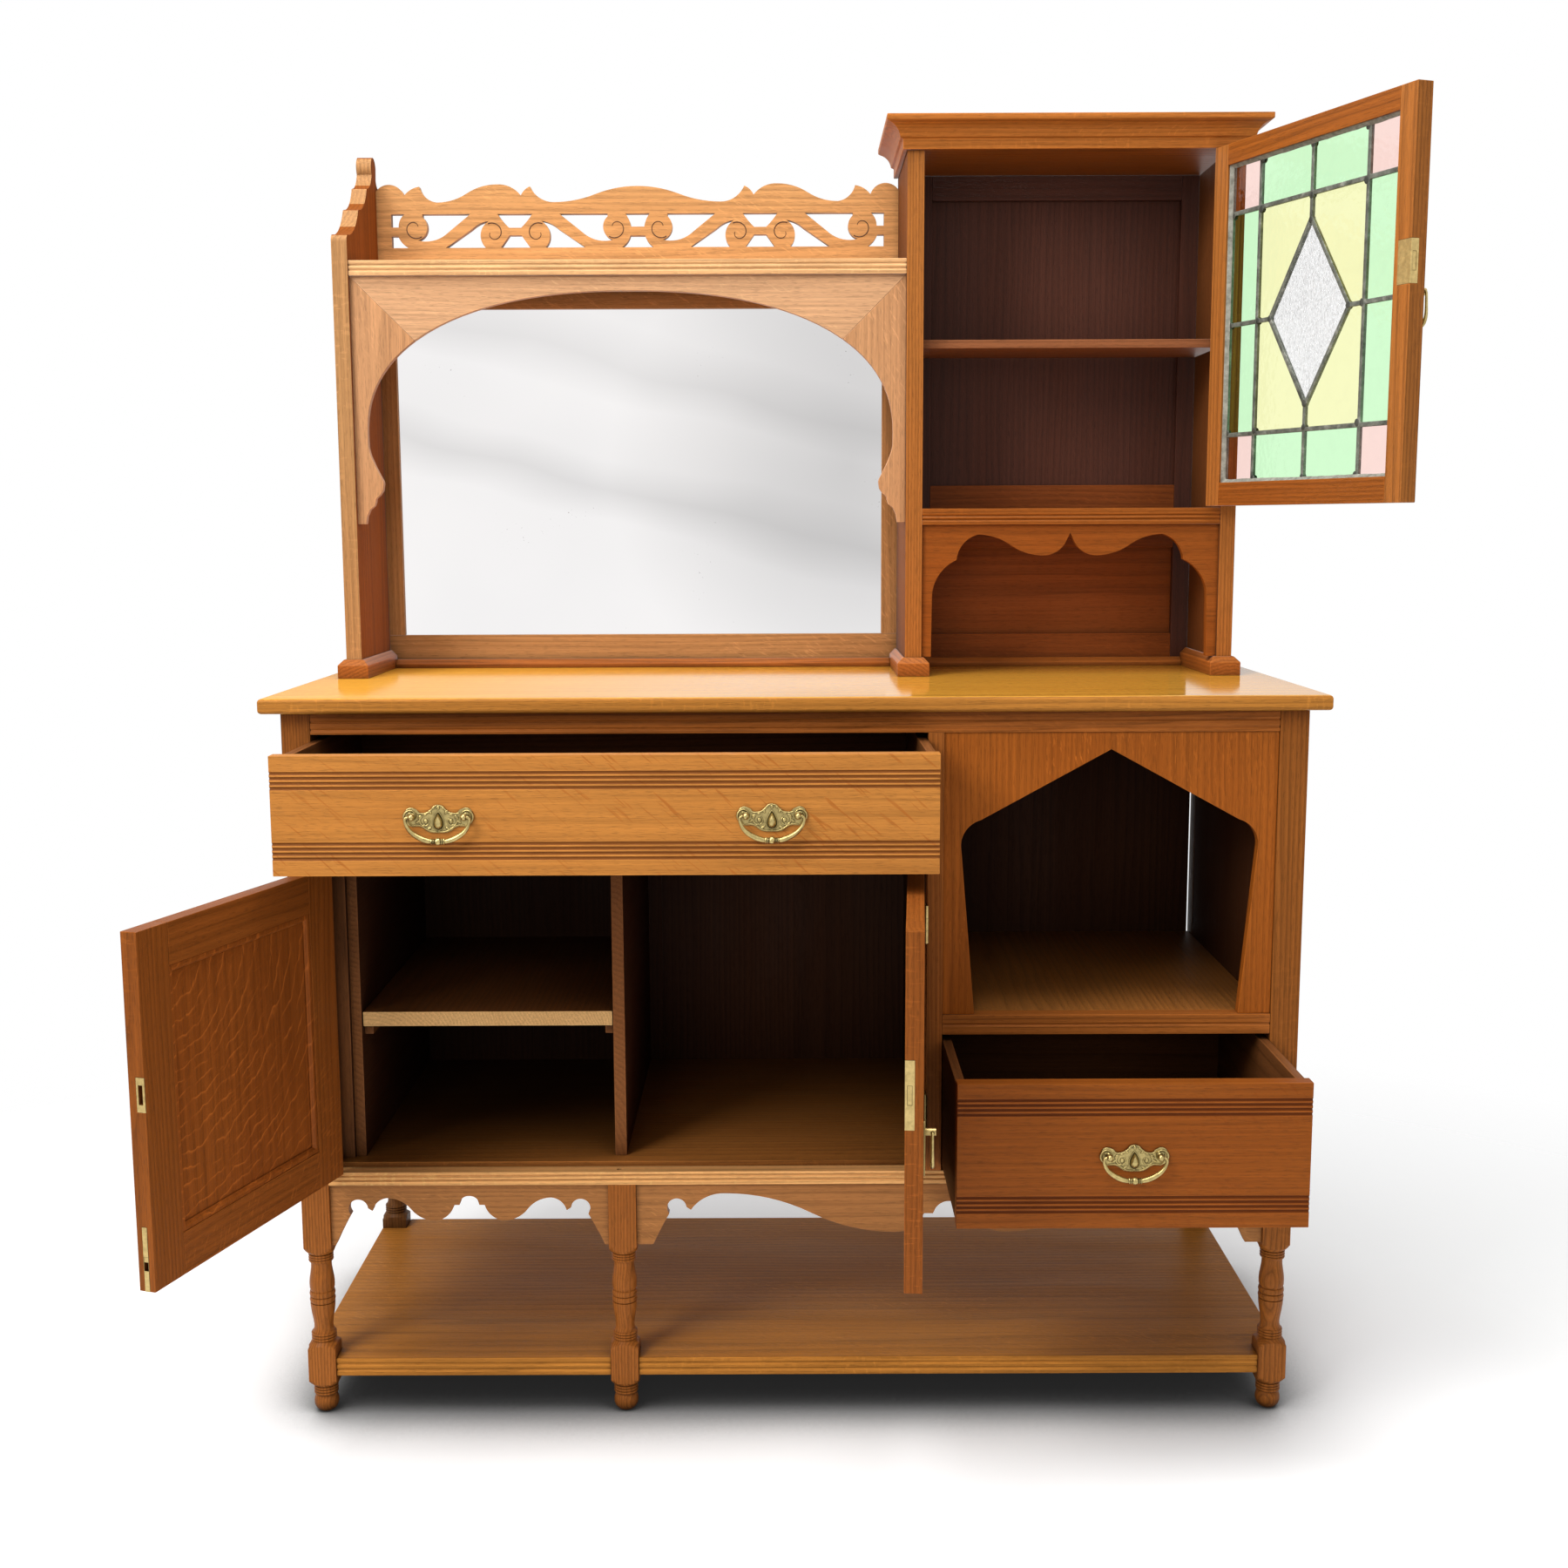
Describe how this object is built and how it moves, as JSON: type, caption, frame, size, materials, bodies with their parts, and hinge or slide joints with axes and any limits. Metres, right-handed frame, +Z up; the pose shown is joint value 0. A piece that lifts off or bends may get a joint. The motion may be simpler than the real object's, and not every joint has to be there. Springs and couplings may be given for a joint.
{
  "type": "mirror-back sideboard",
  "caption": "Oak sideboard on turned legs with drawers, cupboard doors and arched niche, topped by a mirror, pierced gallery and small cabinet with leaded door.",
  "frame": {"origin": "on the floor, in the middle of the footprint with the doors and drawers open as pictured", "axes": "+X to the viewer's right along the front, +Y from the front to the back, +Z up"},
  "size_m": [1.5017, 0.9064, 1.755],
  "materials": {
    "oak": "waxed satin",
    "oak_top": "polished",
    "dark_oak": "stained matt",
    "pine": "raw",
    "brass": "aged",
    "lead": "dull grey",
    "mirror": "silvered",
    "green_glass": "textured",
    "pink_glass": "textured",
    "yellow_glass": "textured",
    "clear_glass": "rippled"
  },
  "bodies": {
    "carcase": {"arch_frieze": "oak", "back_posts": "oak", "bat_wing_apron": "oak", "cabinet_back": "dark_oak", "cabinet_boards": "oak", "cabinet_ends": "oak", "carcase_back": "dark_oak", "carcase_sides": "oak", "cornice": "oak", "cupboard_floor": "dark_oak", "cupboard_linings": "dark_oak", "cupboard_shelf": "pine", "drawer_runners": "dark_oak", "foot_mouldings": "oak", "front_posts": "oak", "front_rails": "oak", "gallery_fret": "oak", "gallery_shelf": "oak", "hinge_frame_leaves": "brass", "lower_aprons": "oak", "middle_divider": "oak", "mirror_backboard": "dark_oak", "mirror_frame": "oak", "mirror_glass": "mirror", "niche_floor": "oak", "niche_panel": "oak", "pot_board": "oak_top", "table_top": "oak_top", "upper_left_end": "oak"},
    "left_door": {"left_door_frame": "oak", "left_door_panel": "oak", "left_door_hinge_leaves": "brass", "left_door_plates": "brass"},
    "left_bolt": {"left_door_bolt": "brass"},
    "right_door": {"right_door_frame": "oak", "right_door_panel": "oak", "right_door_hinge_leaves": "brass", "right_door_brass": "brass"},
    "right_lock_bolt": {"right_door_lock_bolt": "brass"},
    "right_drop": {"right_door_drop": "brass"},
    "glazed_door": {"glazed_door_frame": "oak", "lead_cames": "lead", "green_glass": "green_glass", "pink_glass": "pink_glass", "yellow_glass": "yellow_glass", "clear_glass": "clear_glass", "glazed_door_hinge_leaves": "brass", "glazed_door_brass": "brass"},
    "glazed_lock_bolt": {"glazed_door_lock_bolt": "brass"},
    "glazed_drop": {"glazed_door_drop": "brass"},
    "long_drawer": {"long_drawer_front": "oak", "long_drawer_box": "dark_oak", "long_drawer_handle_plates": "brass"},
    "left_bail": {"long_drawer_left_bail": "brass"},
    "right_bail": {"long_drawer_right_bail": "brass"},
    "lower_drawer": {"lower_drawer_front": "oak", "lower_drawer_box": "dark_oak", "lower_drawer_handle_plate": "brass"},
    "lower_bail": {"lower_drawer_bail": "brass"}
  },
  "joints": [
    {"name": "left_door_hinge", "type": "hinge", "parent": "carcase", "child": "left_door", "pos_m": [-0.6248, -0.0584, 0.552], "axis": [0, 0, -1], "range_deg": [-108, 60]},
    {"name": "left_bolt_slide", "type": "slide", "parent": "left_door", "child": "left_bolt", "axis": [0, 0, -1], "range_m": [0, 0.01]},
    {"name": "right_door_hinge", "type": "hinge", "parent": "carcase", "child": "right_door", "pos_m": [0.1708, -0.0584, 0.552], "axis": [0, 0, 1], "range_deg": [-85.8, 4]},
    {"name": "right_lock_slide", "type": "slide", "parent": "right_door", "child": "right_lock_bolt", "axis": [-0.0732, -0.9973, 0], "range_m": [0, 0.006]},
    {"name": "right_drop_lift", "type": "hinge", "parent": "right_door", "child": "right_drop", "pos_m": [0.15034, -0.42719, 0.525], "axis": [-0.0732, -0.9973, 0], "range_deg": [0, 80]},
    {"name": "glazed_door_hinge", "type": "hinge", "parent": "carcase", "child": "glazed_door", "pos_m": [0.6078, 0.2316, 1.466], "axis": [0, 0, 1], "range_deg": [-110, 55]},
    {"name": "glazed_lock_slide", "type": "slide", "parent": "glazed_door", "child": "glazed_lock_bolt", "axis": [0.342, -0.9397, 0], "range_m": [0, 0.006]},
    {"name": "glazed_drop_lift", "type": "hinge", "parent": "glazed_door", "child": "glazed_drop", "pos_m": [0.75245, -0.14653, 1.472], "axis": [0.342, -0.9397, 0], "range_deg": [0, 80]},
    {"name": "long_drawer_slide", "type": "slide", "parent": "carcase", "child": "long_drawer", "axis": [0, -1, 0], "range_m": [-0.2, 0.12]},
    {"name": "left_bail_lift", "type": "hinge", "parent": "long_drawer", "child": "left_bail", "pos_m": [-0.425, -0.265, 0.8575], "axis": [-1, 0, 0], "range_deg": [0, 80]},
    {"name": "right_bail_lift", "type": "hinge", "parent": "long_drawer", "child": "right_bail", "pos_m": [-0.029, -0.265, 0.8575], "axis": [-1, 0, 0], "range_deg": [0, 80]},
    {"name": "lower_drawer_slide", "type": "slide", "parent": "carcase", "child": "lower_drawer", "axis": [0, -1, 0], "range_m": [-0.208, 0.09]},
    {"name": "lower_bail_lift", "type": "hinge", "parent": "lower_drawer", "child": "lower_bail", "pos_m": [0.4095, -0.273, 0.438], "axis": [-1, 0, 0], "range_deg": [0, 80]}
  ]
}
